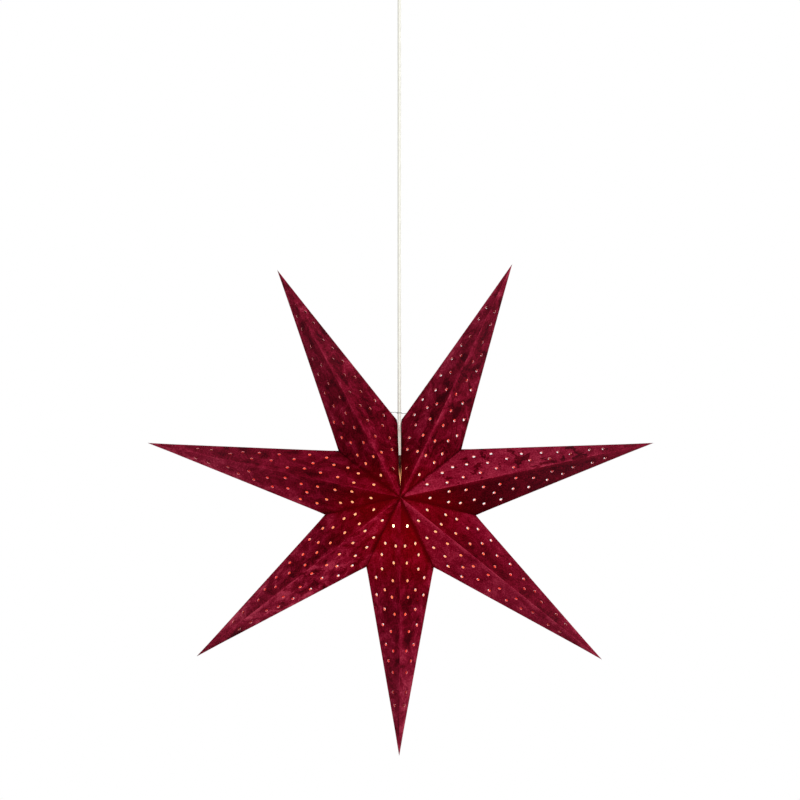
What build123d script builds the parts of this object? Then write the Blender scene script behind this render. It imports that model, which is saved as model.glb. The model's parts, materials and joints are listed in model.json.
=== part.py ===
from build123d import *

import os
from math import asin, atan2, cos, degrees, pi, radians, sin, sqrt, tan

os.makedirs("parts", exist_ok=True)

# Seven-pointed star pendant: a folded, perforated shade hung on a cord from a ceiling cup.
# Lengths are in millimetres. The origin is on the ceiling, +Z is up and the star faces -Y.

# Star shade
point_count = 7
tip_radius = 375.0
valley_radius = 112.5
hub_half_depth = 75.0
sheet_thickness = 0.8
glue_flap_width = 8.0
hub_hole_radius = 1.5
perforation_diameter = 4.4
perforation_sides = 4
# Perforations of one panel, as shares of the way from hub to tip and from ridge to edge
ridge_row_shares = [
    (0.109, 0.51), (0.185, 0.20), (0.250, 0.21), (0.318, 0.23), (0.382, 0.28), (0.447, 0.21),
    (0.515, 0.40), (0.590, 0.34), (0.674, 0.44), (0.751, 0.56), (0.803, 0.51),
]
middle_row_shares = [
    (0.176, 0.68), (0.220, 0.67), (0.275, 0.54), (0.355, 0.51),
    (0.430, 0.58), (0.491, 0.72), (0.567, 0.69), (0.630, 0.65),
]
edge_row_shares = [(0.309, 0.75), (0.376, 0.81)]

# Cord, and the room left around it
cord_diameter = 5.0
core_diameter = 2.0
hub_drop = 800.0
slit_clearance = 0.3
turning_clearance = 0.3
seat_clearance = 0.15

# Hanger wire across the notch between the two top points
wire_diameter = 1.0
wire_rise = 10.0
wire_turn_gap = 0.6
wire_arm_reach = 26.0
wire_foot_length = 14.0
wire_bend_radius = 3.0
wire_hole_clearance = 0.4

# Ceiling cup and bracket
cup_radius = 45.0
cup_depth = 50.0
cup_wall = 1.5
cup_band = 18.0
cup_seat_radius = 14.0
cup_shoulder_radius = 18.0
cup_seat_bend_radius = 6.0
cup_rim_gap = 0.5
bracket_thickness = 1.5
bracket_width = 16.0
bracket_disc_radius = 30.0
bracket_ear_drop = 14.0
bracket_ear_clearance = 0.3
fixing_spacing = 48.0
fixing_hole_diameter = 4.5
cable_hole_diameter = 12.0
cable_hole_offset = 12.0
cup_screw_diameter = 3.0
cup_screw_length = 8.0
cup_screw_head_diameter = 5.6
cup_screw_head_height = 2.2
cup_screw_drop = 8.0

# Terminal block under the bracket
block_length = 16.0
block_width = 24.0
block_height = 14.0
block_front = 6.0
pole_spacing = 12.0
pole_bore_diameter = 3.2
block_screw_diameter = 3.0
block_screw_pitch = 8.0

# Cord outlet: threaded nipple, nut, grip screw and the bush that the cord swings in
nipple_shank_diameter = 10.0
nipple_length = 16.0
nipple_wall = 2.2
nipple_thread_end = 1.5
nut_height = 4.0
nut_across_flats = 14.0
grip_screw_diameter = 3.0
grip_screw_head_diameter = 5.0
grip_screw_head_height = 2.0
outlet_grip_drop = 4.5
bush_wall = 3.5
bush_height = 6.0
swing_limit = 20.0
swing_margin = 2.0
sheath_above_nut = 6.0

# Lampholder
holder_rise = 61.0
holder_radius = 14.5
holder_wall = 1.6
holder_neck_radius = 6.5
holder_neck_length = 10.0
holder_roof = 2.0
holder_shoulder_length = 10.0
holder_cap_length = 30.0
holder_neck_bend = 3.0
holder_shoulder_bend = 5.0
holder_edge_radius = 0.8
holder_grip_drop = 5.0
sheath_in_holder = 15.0
sleeve_length = 36.0
sleeve_mouth_radius = 12.6
spigot_length = 5.0
thread_clearance = 0.2
insert_drop = 2.0
insert_thickness = 8.0
insert_ledge = 1.5
shell_bore_radius = 7.1
shell_wall = 0.4
shell_length = 21.5
spring_thickness = 0.4
spring_width = 4.5
spring_reach = 5.0
spring_drop = 2.6
terminal_length = 5.0
terminal_width = 6.0
terminal_height = 7.0
terminal_spacing = 13.0
terminal_screw_diameter = 2.4
terminal_screw_length = 3.0
terminal_screw_proud = 1.2

# Bulb
bulb_contact_radius = 2.3
bulb_contact_height = 1.2
insulator_height = 2.5
bulb_cap_length = 21.0
bulb_cap_wall = 0.4
bulb_thread_clearance = 0.35
bulb_shoulder_height = 1.2
bulb_skirt_radius = 8.6
bulb_skirt_flare = 2.0
glass_wall = 0.8
globe_radius = 22.5
globe_neck_blend = 12.0
stem_foot_thickness = 1.0
stem_foot_height = 6.0
stem_radius = 2.0
stem_above_globe_centre = 6.0
filament_count = 4
filament_radius = 0.9
filament_length = 20.0
filament_lean = 12.0

# Heights and radii that follow from the sizes above
cord_radius = cord_diameter / 2
core_radius = core_diameter / 2
hub_height = -hub_drop
cup_floor = -cup_depth
outlet_mouth = cup_floor - nipple_length
nut_top = cup_floor + cup_wall + nut_height
sheath_top = nut_top + nipple_thread_end + sheath_above_nut
holder_top = hub_height + holder_rise
sheath_end = holder_top - sheath_in_holder
cap_rim = holder_top - holder_cap_length
insert_top = cap_rim - insert_drop
insert_bottom = insert_top - insert_thickness
core_offset = core_radius + seat_clearance


def side_plane(height):
    """Upright drawing plane through the centre line: X to the right, Z up from the given height."""
    return Plane(origin=(0, 0, height), x_dir=(1, 0, 0), z_dir=(0, -1, 0))


def turned_section(height, *corners):
    """Closed half section for a turned piece; each corner is (radius, height, bend radius)."""
    with BuildSketch(side_plane(height)) as section:
        with BuildLine():
            points = [(radius, level) for radius, level, bend in corners]
            FilletPolyline(*points, radius=[bend for radius, level, bend in corners], close=True)
        make_face()
    return section.sketch


def tube_along(points, bends, radius):
    """Round wire or core along straight runs joined by bends."""
    with BuildPart() as tube:
        with BuildLine() as route:
            FilletPolyline(*points, radius=bends)
        with BuildSketch(Plane(origin=route.line @ 0, z_dir=route.line % 0)):
            Circle(radius)
        sweep()
    return tube.part


def finish(piece, name):
    """Label a finished piece and write it."""
    piece.label = name
    export_step(piece, f"parts/{name}.step")


# Star points: the two end points leave a wedge between their flaps, just wide enough for the cord
valley_gradient = sqrt(1 / valley_radius**2 + 1 / hub_half_depth**2)
flap_share = 1 - glue_flap_width * valley_gradient
cord_room = cord_radius + slit_clearance
flap_reach_at_cord = valley_radius * (flap_share - cord_room / hub_half_depth)
slit_half_angle = degrees(asin(cord_room / flap_reach_at_cord))
half_pitch = (180 - slit_half_angle) / point_count
point_bearings = [slit_half_angle + half_pitch * (2 * k + 1) for k in range(point_count)]
valley_across = valley_radius * sin(radians(half_pitch))
valley_along = valley_radius * cos(radians(half_pitch))
base_half_width = valley_across * tip_radius / (tip_radius - valley_along)

# A point is a four-sided pyramid; drawn smaller by one share on all axes, its faces move inwards.
panel_gradient = sqrt(1 / base_half_width**2 + 1 / hub_half_depth**2 + 1 / tip_radius**2)
skin_share = 1 - sheet_thickness * panel_gradient

# A few-sided cut of the same area stands for each round perforation.
perforation_reach = perforation_diameter / 2 * sqrt(
    2 * pi / perforation_sides / sin(2 * pi / perforation_sides)
)


def point_plane(bearing):
    """Cross-section plane of a point at the hub; its normal runs along the point to the tip."""
    turn = radians(bearing)
    return Plane(
        origin=(0, 0, hub_height), x_dir=(cos(turn), 0, -sin(turn)), z_dir=(sin(turn), 0, cos(turn))
    )


def pyramid(plane, share):
    """The pyramid of one point, from its hub cross-section to its tip."""
    with BuildPart() as body:
        with BuildSketch(plane) as base:
            Polygon(
                (share * base_half_width, 0),
                (0, share * hub_half_depth),
                (-share * base_half_width, 0),
                (0, -share * hub_half_depth),
                align=None,
            )
        tip = plane.from_local_coords((0, 0, share * tip_radius))
        loft(sections=[base.sketch.face(), Vertex(*tip)])
    return body.part


def sector(bearing):
    """Front view of the room that one point takes up, from one glued side to the other."""
    reach = 2 * tip_radius
    sides = [radians(bearing - half_pitch), radians(bearing + half_pitch)]
    with BuildSketch(side_plane(hub_height)) as room:
        Polygon((0, 0), *[(reach * sin(side), reach * cos(side)) for side in sides], align=None)
        Circle(hub_hole_radius, mode=Mode.SUBTRACT)
    return room.sketch


def perforation_planes(plane):
    """One drawing plane per perforation, flat on each of the four panels of a point."""
    planes = []
    for face in (-1, 1):
        for side in (-1, 1):
            normal = Vector(side / base_half_width, face / hub_half_depth, 1 / tip_radius)
            ridge = Vector(0, -face * hub_half_depth, tip_radius)
            for reach, across in ridge_row_shares + middle_row_shares + edge_row_shares:
                edge = min(reach * tip_radius * tan(radians(half_pitch)), base_half_width * (1 - reach))
                offset_from_ridge = across * edge
                depth = hub_half_depth * (1 - reach - offset_from_ridge / base_half_width)
                centre = (side * offset_from_ridge, face * depth, reach * tip_radius)
                local = Plane(origin=centre, x_dir=ridge, z_dir=normal)
                planes.append(Plane(plane.location * local.location))
    return planes


notch_height = hub_height + valley_radius
wire_height = notch_height + wire_rise
wire_radius = wire_diameter / 2
eye_radius = cord_radius + turning_clearance + wire_radius
eye_pitch = wire_diameter + wire_turn_gap
arm_heights = {1: wire_height - eye_pitch / 2, -1: wire_height + eye_pitch / 2}

# Each point is glued up from a left and a right half, which meet on its front and back ridges.
for number, bearing in enumerate(point_bearings, start=1):
    plane = point_plane(bearing)
    ridge_plane = Plane(origin=plane.origin, x_dir=plane.z_dir, z_dir=plane.x_dir)
    room = sector(bearing)
    with BuildPart() as hollow:
        add(pyramid(plane, skin_share))
        inner_room = offset(room, -sheet_thickness, kind=Kind.INTERSECTION, mode=Mode.PRIVATE)
        extrude(inner_room, amount=hub_half_depth, both=True, mode=Mode.INTERSECT)
    with BuildPart() as star_point:
        add(pyramid(plane, 1))
        extrude(room, amount=hub_half_depth, both=True, mode=Mode.INTERSECT)
        add(hollow.part, mode=Mode.SUBTRACT)
        add(pyramid(plane, flap_share), mode=Mode.SUBTRACT)
        with BuildSketch(*perforation_planes(plane)):
            RegularPolygon(perforation_reach, perforation_sides)
        extrude(amount=-2 * sheet_thickness, mode=Mode.SUBTRACT)
        if number in (1, point_count):
            side = 1 if number == 1 else -1
            arm_middle = (side * wire_arm_reach / 2, eye_radius, arm_heights[side])
            with Locations(Location(arm_middle, (0, 90, 0))):
                Cylinder(wire_radius + wire_hole_clearance, wire_arm_reach, mode=Mode.SUBTRACT)
        split(bisect_by=ridge_plane, keep=Keep.BOTH)
    finish(star_point.part, f"star_point_{number}")

# Hanger wire: one turn round the cord, and an arm with a bent foot inside each top point
with BuildPart() as hanger_wire:
    with BuildLine() as route:
        left, right = arm_heights[-1], arm_heights[1]
        turn_reach = sqrt(eye_radius**2 + (eye_pitch / 4) ** 2)
        FilletPolyline(
            (-wire_arm_reach, eye_radius, left - wire_foot_length),
            (-wire_arm_reach, eye_radius, left),
            (0, eye_radius, left),
            radius=wire_bend_radius,
        )
        ThreePointArc(
            (0, eye_radius, left),
            (turn_reach, 0, left - eye_pitch / 4),
            (0, -eye_radius, wire_height),
        )
        ThreePointArc(
            (0, -eye_radius, wire_height),
            (-turn_reach, 0, right + eye_pitch / 4),
            (0, eye_radius, right),
        )
        FilletPolyline(
            (0, eye_radius, right),
            (wire_arm_reach, eye_radius, right),
            (wire_arm_reach, eye_radius, right - wire_foot_length),
            radius=wire_bend_radius,
        )
    with BuildSketch(Plane(origin=route.line @ 0, z_dir=route.line % 0)):
        Circle(wire_radius)
    sweep()
finish(hanger_wire.part, "hanger_wire")

# Ceiling bracket: a disc with two arms, each bent down into an ear that takes a cup screw
cup_inner_radius = cup_radius - cup_wall
ear_reach = sqrt(cup_inner_radius**2 - (bracket_width / 2) ** 2) - bracket_ear_clearance
cup_screw_radius = cup_screw_diameter / 2
with BuildPart() as ceiling_bracket:
    with BuildSketch(Plane.XY.offset(-bracket_thickness)):
        Circle(bracket_disc_radius)
        Rectangle(2 * ear_reach, bracket_width)
        with GridLocations(0, fixing_spacing, 1, 2):
            Circle(fixing_hole_diameter / 2, mode=Mode.SUBTRACT)
        with Locations((-cable_hole_offset, 0)):
            Circle(cable_hole_diameter / 2, mode=Mode.SUBTRACT)
    extrude(amount=bracket_thickness)
    with BuildSketch(Plane.XY):
        with GridLocations(2 * ear_reach - bracket_thickness, 0, 2, 1):
            Rectangle(bracket_thickness, bracket_width)
    extrude(amount=-bracket_ear_drop)
    with Locations(Location((0, 0, -cup_screw_drop), (0, 90, 0))):
        Cylinder(cup_screw_radius + seat_clearance, 2 * cup_radius, mode=Mode.SUBTRACT)
finish(ceiling_bracket.part, "ceiling_bracket")

# Ceiling cup: a spun shell with a straight band for its screws and a flat seat for the outlet
nipple_shank_radius = nipple_shank_diameter / 2
with BuildPart() as ceiling_cup:
    with BuildSketch(side_plane(0)):
        with BuildLine():
            FilletPolyline(
                (nipple_shank_radius + seat_clearance, cup_floor),
                (cup_seat_radius, cup_floor),
                (cup_radius, -cup_band),
                (cup_radius, -cup_rim_gap),
                radius=[cup_seat_bend_radius, cup_shoulder_radius],
            )
            offset(amount=cup_wall, side=Side.LEFT)
        make_face()
    revolve(axis=Axis.Z)
    with Locations(Location((0, 0, -cup_screw_drop), (0, 90, 0))):
        Cylinder(cup_screw_radius + seat_clearance, 3 * cup_radius, mode=Mode.SUBTRACT)
finish(ceiling_cup.part, "ceiling_cup")

# Two screws that hold the cup on the bracket's ears
with BuildPart() as cup_screws:
    with Locations((cup_radius, 0, -cup_screw_drop)):
        Cylinder(
            cup_screw_radius,
            cup_screw_length,
            rotation=(0, 90, 0),
            align=(Align.CENTER, Align.CENTER, Align.MAX),
        )
        Cylinder(
            cup_screw_head_diameter / 2,
            cup_screw_head_height,
            rotation=(0, 90, 0),
            align=(Align.CENTER, Align.CENTER, Align.MIN),
        )
    fillet(cup_screws.edges().group_by(Axis.X)[-1], cup_screw_head_height / 2)
    mirror(about=Plane.YZ)
finish(cup_screws.part, "cup_screws")

# Terminal block: two poles, each a bore with a clamping screw at either end
block_middle = block_front + block_length / 2
block_bottom = -bracket_thickness - block_height
pole_height = -bracket_thickness - block_height / 2
block_screw_length = block_height / 2 - core_radius - seat_clearance
with BuildPart() as terminal_block:
    with BuildSketch(Plane.XY.offset(-bracket_thickness)):
        with Locations((block_middle, 0)):
            Rectangle(block_length, block_width)
            Rectangle(block_length + 2 * seat_clearance, block_width / 8, mode=Mode.SUBTRACT)
    extrude(amount=-block_height)
    with BuildSketch(Plane.XY.offset(-bracket_thickness)):
        with Locations((block_middle, 0)):
            Rectangle(block_length, block_width / 8)
    extrude(amount=-block_height / 2)
    with BuildSketch(Plane.YZ.offset(block_front)):
        with Locations((0, pole_height)):
            with GridLocations(pole_spacing, 0, 2, 1):
                Circle(pole_bore_diameter / 2)
    extrude(amount=block_length, mode=Mode.SUBTRACT)
    with BuildSketch(Plane.XY.offset(block_bottom)):
        with Locations((block_middle, 0)):
            with GridLocations(block_screw_pitch, pole_spacing, 2, 2):
                Circle(block_screw_diameter / 2 + seat_clearance)
    extrude(amount=block_height / 2, mode=Mode.SUBTRACT)
finish(terminal_block.part, "terminal_block")

with BuildPart() as terminal_screws:
    with BuildSketch(Plane.XY.offset(block_bottom)):
        with Locations((block_middle, 0)):
            with GridLocations(block_screw_pitch, pole_spacing, 2, 2):
                Circle(block_screw_diameter / 2)
    extrude(amount=block_screw_length)
finish(terminal_screws.part, "terminal_screws")

# Cord outlet nipple: threaded shank through the cup, tapered grip body with a seat for the bush
bush_radius = cord_radius + bush_wall
bush_seat_radius = bush_radius + turning_clearance
nipple_radius = bush_seat_radius + nipple_wall
cord_bore_radius = cord_radius + seat_clearance
outlet_grip_height = cup_floor - outlet_grip_drop
grip_screw_radius = grip_screw_diameter / 2
with BuildPart() as outlet_nipple:
    revolve(
        turned_section(
            0,
            (cord_bore_radius, nut_top + nipple_thread_end, 0),
            (nipple_shank_radius, nut_top + nipple_thread_end, 0),
            (nipple_shank_radius, cup_floor, 0),
            (nipple_radius + nipple_wall / 2, cup_floor, 0),
            (nipple_radius, outlet_mouth, 0),
            (bush_seat_radius, outlet_mouth, 0),
            (bush_seat_radius, outlet_mouth + bush_seat_radius, 0),
            (cord_bore_radius, outlet_mouth + bush_seat_radius, 0),
        ),
        axis=Axis.Z,
    )
    with Locations(Location((0, 0, outlet_grip_height), (-90, 0, 0))):
        Cylinder(
            grip_screw_radius + seat_clearance,
            2 * nipple_radius,
            align=(Align.CENTER, Align.CENTER, Align.MIN),
            mode=Mode.SUBTRACT,
        )
finish(outlet_nipple.part, "outlet_nipple")

# Nut that clamps the nipple to the cup
with BuildPart() as outlet_nut:
    with BuildSketch(Plane.XY.offset(cup_floor + cup_wall)):
        RegularPolygon(nut_across_flats / 2, 6, major_radius=False)
        Circle(nipple_shank_radius + seat_clearance, mode=Mode.SUBTRACT)
    extrude(amount=nut_height)
finish(outlet_nut.part, "outlet_nut")


def grip_screw(height, tip, seat):
    """Thumb screw from the back that presses on the cord; its head stands just off its seat."""
    with BuildPart() as screw:
        with Locations(Location((0, tip, height), (-90, 0, 0))):
            Cylinder(
                grip_screw_radius, seat - tip, align=(Align.CENTER, Align.CENTER, Align.MIN)
            )
        with Locations(Location((0, seat, height), (-90, 0, 0))):
            Cylinder(
                grip_screw_head_diameter / 2,
                grip_screw_head_height,
                align=(Align.CENTER, Align.CENTER, Align.MIN),
            )
        fillet(screw.edges().group_by(Axis.Y)[-1], grip_screw_head_height / 4)
    return screw.part


outlet_grip_screw = grip_screw(
    outlet_grip_height, cord_radius + seat_clearance, nipple_radius + nipple_wall / 2
)
finish(outlet_grip_screw, "outlet_grip_screw")

# Cord tail above the swing point, and its two cores up to the terminal block
tail_bottom = outlet_mouth + cord_radius + turning_clearance
with BuildPart() as cord_tail:
    with BuildSketch(Plane.XY.offset(tail_bottom)):
        Circle(cord_radius)
    extrude(amount=sheath_top - tail_bottom)
finish(cord_tail.part, "cord_tail")

core_bend = 4 * core_diameter
core_turn = block_front - core_bend - core_diameter / 2
for name, side in (("tail_core_live", 1), ("tail_core_neutral", -1)):
    route = [
        (0, side * core_offset, sheath_top),
        (0, side * core_offset, sheath_top + core_diameter),
        (core_turn, side * pole_spacing / 2, pole_height - 1.5 * core_bend),
        (core_turn, side * pole_spacing / 2, pole_height),
        (block_middle - block_screw_pitch / 4, side * pole_spacing / 2, pole_height),
    ]
    finish(tube_along(route, [core_diameter, core_diameter, core_bend], core_radius), name)

# Bush in the nipple's mouth: a ball zone that rocks sideways, flared for the cord to rock in
bush_lip_radius = sqrt(bush_radius**2 - (bush_height / 2) ** 2)
bush_waist_radius = cord_radius / cos(radians(swing_limit)) + turning_clearance
bush_flare_radius = bush_waist_radius + bush_height / 2 * tan(radians(swing_limit + swing_margin))
with BuildPart() as outlet_bush:
    with BuildSketch(side_plane(outlet_mouth)):
        with BuildLine():
            ThreePointArc(
                (bush_lip_radius, -bush_height / 2),
                (bush_radius, 0),
                (bush_lip_radius, bush_height / 2),
            )
            Polyline(
                (bush_lip_radius, bush_height / 2),
                (bush_flare_radius, bush_height / 2),
                (bush_waist_radius, 0),
                (bush_flare_radius, -bush_height / 2),
                (bush_lip_radius, -bush_height / 2),
            )
        make_face()
    revolve(axis=Axis.Z)
finish(outlet_bush.part, "outlet_bush")

# Cord: straight under the star's weight, with a round head at the swing point
with BuildPart() as cord:
    with BuildSketch(side_plane(outlet_mouth)):
        with BuildLine():
            CenterArc((0, 0), cord_radius, 0, 90)
            Polyline(
                (0, cord_radius),
                (0, sheath_end - outlet_mouth),
                (cord_radius, sheath_end - outlet_mouth),
                (cord_radius, 0),
            )
        make_face()
    revolve(axis=Axis.Z)
finish(cord.part, "cord")

# Lampholder cap: neck, shoulder and skirt in one shell
holder_bore_radius = cord_radius + turning_clearance
skirt_bore_radius = holder_radius - holder_wall
shoulder_end = -holder_neck_length - holder_shoulder_length
with BuildPart() as holder_cap:
    revolve(
        turned_section(
            holder_top,
            (holder_bore_radius, 0, 0),
            (holder_neck_radius, 0, holder_edge_radius),
            (holder_neck_radius, -holder_neck_length, holder_neck_bend),
            (holder_radius, shoulder_end, holder_shoulder_bend),
            (holder_radius, -holder_cap_length, 0),
            (skirt_bore_radius, -holder_cap_length, 0),
            (skirt_bore_radius, shoulder_end - holder_wall / 2, 0),
            (holder_neck_radius - holder_wall, -holder_neck_length - holder_roof, 0),
            (holder_bore_radius, -holder_neck_length - holder_roof, 0),
        ),
        axis=Axis.Z,
    )
    with Locations(Location((0, 0, holder_top - holder_grip_drop), (-90, 0, 0))):
        Cylinder(
            grip_screw_radius + seat_clearance,
            2 * holder_neck_radius,
            align=(Align.CENTER, Align.CENTER, Align.MIN),
            mode=Mode.SUBTRACT,
        )
finish(holder_cap.part, "holder_cap")

holder_grip_screw = grip_screw(
    holder_top - holder_grip_drop, cord_radius + turning_clearance, holder_neck_radius
)
finish(holder_grip_screw, "holder_grip_screw")

# Lampholder sleeve: screws into the cap, carries the insert on a ledge and shrouds the lamp cap
spigot_radius = skirt_bore_radius - thread_clearance
sleeve_bore_radius = spigot_radius - holder_wall
ledge_radius = sleeve_bore_radius - insert_ledge
with BuildPart() as holder_sleeve:
    revolve(
        turned_section(
            cap_rim,
            (sleeve_bore_radius, spigot_length, 0),
            (spigot_radius, spigot_length, 0),
            (spigot_radius, 0, 0),
            (holder_radius, 0, holder_edge_radius),
            (sleeve_mouth_radius, -sleeve_length, holder_edge_radius),
            (ledge_radius, -sleeve_length, 0),
            (ledge_radius, insert_bottom - cap_rim, 0),
            (sleeve_bore_radius, insert_bottom - cap_rim, 0),
        ),
        axis=Axis.Z,
    )
finish(holder_sleeve.part, "holder_sleeve")

# Insulating insert on the sleeve's ledge
with BuildPart() as holder_insert:
    with BuildSketch(Plane.XY.offset(insert_bottom)):
        Circle(sleeve_bore_radius - seat_clearance)
    extrude(amount=insert_thickness)
    chamfer(holder_insert.edges().group_by(Axis.Z)[-1], seat_clearance * 4)
finish(holder_insert.part, "holder_insert")

# Screw shell for the bulb's cap, hung from the insert
with BuildPart() as holder_shell:
    with BuildSketch(Plane.XY.offset(insert_bottom)):
        Circle(shell_bore_radius + shell_wall)
        Circle(shell_bore_radius, mode=Mode.SUBTRACT)
    extrude(amount=-shell_length)
finish(holder_shell.part, "holder_shell")

# Centre contact: a bent spring strip under the insert
with BuildPart() as holder_contact:
    with BuildSketch(side_plane(insert_bottom)):
        with BuildLine():
            FilletPolyline(
                (-spring_reach, 0),
                (-spring_reach / 2, 0),
                (spring_reach / 4, spring_thickness - spring_drop),
                (spring_reach, spring_thickness - spring_drop / 2),
                radius=2 * spring_thickness,
            )
            offset(amount=spring_thickness, side=Side.RIGHT)
        make_face()
    extrude(amount=spring_width / 2, both=True)
finish(holder_contact.part, "holder_contact")

# Two terminals on top of the insert, each with a core hole and a clamping screw
terminal_middle = terminal_spacing / 2
terminal_top = insert_top + terminal_height
terminal_screw_height = insert_top + terminal_height / 2
terminal_screw_radius = terminal_screw_diameter / 2
core_hole_radius = core_radius + seat_clearance
with BuildPart() as holder_terminals:
    with BuildSketch(Plane.XY.offset(insert_top)):
        with GridLocations(terminal_spacing, 0, 2, 1):
            Rectangle(terminal_length, terminal_width)
    extrude(amount=terminal_height)
    with BuildSketch(Plane.XY.offset(terminal_top)):
        with GridLocations(terminal_spacing, 0, 2, 1):
            Circle(core_hole_radius)
    extrude(amount=-3 * terminal_height / 4, mode=Mode.SUBTRACT)
    with BuildSketch(Plane.YZ.offset(terminal_middle)):
        with Locations((0, terminal_screw_height)):
            Circle(terminal_screw_radius + seat_clearance)
    extrude(amount=terminal_length, mode=Mode.SUBTRACT)
    with BuildSketch(Plane.YZ.offset(-terminal_middle)):
        with Locations((0, terminal_screw_height)):
            Circle(terminal_screw_radius + seat_clearance)
    extrude(amount=-terminal_length, mode=Mode.SUBTRACT)
finish(holder_terminals.part, "holder_terminals")

terminal_screw_end = terminal_middle + terminal_length / 2 + terminal_screw_proud
with BuildPart() as holder_terminal_screws:
    with BuildSketch(Plane.YZ.offset(terminal_screw_end)):
        with Locations((0, terminal_screw_height)):
            Circle(terminal_screw_radius)
    extrude(amount=-terminal_screw_length + core_radius / 2)
    mirror(about=Plane.YZ)
finish(holder_terminal_screws.part, "holder_terminal_screws")

core_start = sheath_end - turning_clearance
for name, side in (("holder_core_live", 1), ("holder_core_neutral", -1)):
    route = [
        (side * core_offset, 0, core_start),
        (side * core_offset, 0, core_start - core_diameter),
        (side * terminal_middle, 0, terminal_top + core_diameter),
        (side * terminal_middle, 0, terminal_screw_height),
    ]
    finish(tube_along(route, core_diameter, core_radius), name)

# Bulb, from its contact down to its globe
contact_top = insert_bottom - spring_drop - turning_clearance
insulator_top = contact_top - bulb_contact_height
bulb_cap_top = insulator_top - insulator_height
bulb_cap_bottom = bulb_cap_top - bulb_cap_length
bulb_cap_radius = shell_bore_radius - bulb_thread_clearance
skirt_top = insert_bottom - shell_length - turning_clearance
insulator_radius = bulb_cap_radius - bulb_shoulder_height
with BuildPart() as bulb_contact:
    revolve(
        turned_section(
            insulator_top,
            (0, 0, 0),
            (bulb_contact_radius, 0, 0),
            (bulb_contact_radius, bulb_contact_height, bulb_contact_height / 2),
            (0, bulb_contact_height, 0),
        ),
        axis=Axis.Z,
    )
finish(bulb_contact.part, "bulb_contact")

with BuildPart() as bulb_insulator:
    revolve(
        turned_section(
            bulb_cap_top,
            (0, 0, 0),
            (insulator_radius, 0, 0),
            (bulb_contact_radius, insulator_height, 0),
            (0, insulator_height, 0),
        ),
        axis=Axis.Z,
    )
finish(bulb_insulator.part, "bulb_insulator")

with BuildPart() as bulb_cap:
    with BuildSketch(side_plane(0)):
        with BuildLine():
            Polyline(
                (insulator_radius, bulb_cap_top),
                (bulb_cap_radius, bulb_cap_top - bulb_shoulder_height),
                (bulb_cap_radius, skirt_top),
                (bulb_skirt_radius, skirt_top - bulb_skirt_flare),
                (bulb_skirt_radius, bulb_cap_bottom),
            )
            offset(amount=bulb_cap_wall, side=Side.RIGHT, kind=Kind.INTERSECTION)
        make_face()
    revolve(axis=Axis.Z)
finish(bulb_cap.part, "bulb_cap")

# Globe: a neck inside the cap's skirt that swells into a ball
neck_radius = bulb_skirt_radius - bulb_cap_wall - seat_clearance
neck_top = skirt_top - bulb_skirt_flare - 2 * bulb_cap_wall
blend_rise = sqrt((globe_radius + globe_neck_blend) ** 2 - (neck_radius + globe_neck_blend) ** 2)
blend_angle = degrees(atan2(blend_rise, neck_radius + globe_neck_blend))
globe_centre = bulb_cap_bottom - blend_rise
with BuildPart() as bulb_glass:
    with BuildSketch(side_plane(globe_centre)):
        with BuildLine():
            Line((neck_radius, neck_top - globe_centre), (neck_radius, blend_rise))
            CenterArc((neck_radius + globe_neck_blend, blend_rise), globe_neck_blend, 180, blend_angle)
            CenterArc((0, 0), globe_radius, blend_angle, -90 - blend_angle)
            offset(amount=glass_wall, side=Side.RIGHT)
        make_face()
    revolve(axis=Axis.Z)
finish(bulb_glass.part, "bulb_glass")

# Glass stem with its foot in the neck, and the filament sticks round its head
stem_foot_radius = neck_radius - glass_wall - seat_clearance
stem_end = globe_centre + stem_above_globe_centre
with BuildPart() as bulb_stem:
    revolve(
        turned_section(
            neck_top,
            (0, 0, 0),
            (stem_foot_radius, 0, 0),
            (stem_foot_radius, -stem_foot_thickness, 0),
            (stem_radius, -stem_foot_thickness - stem_foot_height, stem_foot_height / 2),
            (stem_radius, stem_end - neck_top, stem_radius / 2),
            (0, stem_end - neck_top, 0),
        ),
        axis=Axis.Z,
    )
finish(bulb_stem.part, "bulb_stem")

filament_ring = stem_radius + filament_radius + seat_clearance
with BuildPart() as bulb_filaments:
    with Locations((0, 0, stem_end + filament_length / 4)):
        with PolarLocations(filament_ring, filament_count):
            Cylinder(
                filament_radius,
                filament_length,
                rotation=(0, -filament_lean, 0),
                align=(Align.CENTER, Align.CENTER, Align.MAX),
            )
finish(bulb_filaments.part, "bulb_filaments")
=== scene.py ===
import json
import math
from collections import namedtuple
from functools import reduce

import bmesh
import bpy
from mathutils import Matrix, Vector, noise
from mathutils.geometry import delaunay_2d_cdt


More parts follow.
